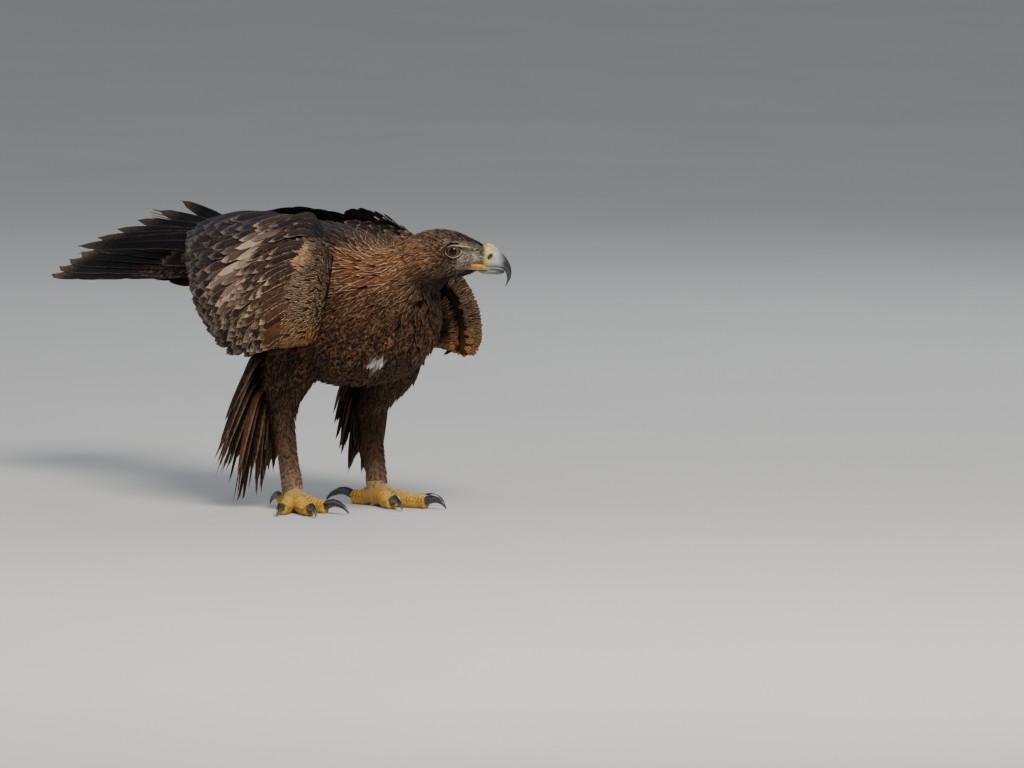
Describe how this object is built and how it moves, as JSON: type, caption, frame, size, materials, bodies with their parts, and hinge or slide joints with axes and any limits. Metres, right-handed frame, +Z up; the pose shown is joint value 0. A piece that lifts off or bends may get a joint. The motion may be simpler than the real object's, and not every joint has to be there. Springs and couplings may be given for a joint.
{
  "type": "golden eagle figure",
  "caption": "Life-size standing golden eagle with folded wings, turned head, feathered legs and hooked claws.",
  "frame": {"origin": "on the floor, under the middle of the bird's bounding box", "axes": "+Z up; the bird faces -Y, its tail points to +Y, and its left side is towards +X"},
  "size_m": [0.2664, 0.6488, 0.3187],
  "materials": {
    "plumage_brown": "soft matt feathers, dark brown",
    "plumage_dark": "smooth flight feathers, slate brown",
    "plumage_gold": "narrow feathers, golden brown",
    "plumage_rust": "short dense feathers, tawny brown",
    "skin_yellow": "scaly bare skin, yellow",
    "bill_horn": "smooth horn, blue grey",
    "claw_black": "smooth horn, black",
    "eye_amber": "wet clear surface over an amber iris"
  },
  "bodies": {
    "root": {"torso": "plumage_brown", "neck": "plumage_gold", "head": "plumage_gold", "cere": "skin_yellow", "bill_upper": "bill_horn", "bill_lower": "bill_horn", "eye_left": "eye_amber", "eye_right": "eye_amber", "tail": "plumage_dark", "wing_right": "plumage_brown", "thigh_right": "plumage_rust", "tarsus_right": "plumage_rust", "foot_right": "skin_yellow", "claw_inner_right": "claw_black", "claw_middle_right": "claw_black", "claw_outer_right": "claw_black", "claw_hind_right": "claw_black", "wing_left": "plumage_brown", "thigh_left": "plumage_rust", "tarsus_left": "plumage_rust", "foot_left": "skin_yellow", "claw_inner_left": "claw_black", "claw_middle_left": "claw_black", "claw_outer_left": "claw_black", "claw_hind_left": "claw_black"}
  },
  "joints": []
}
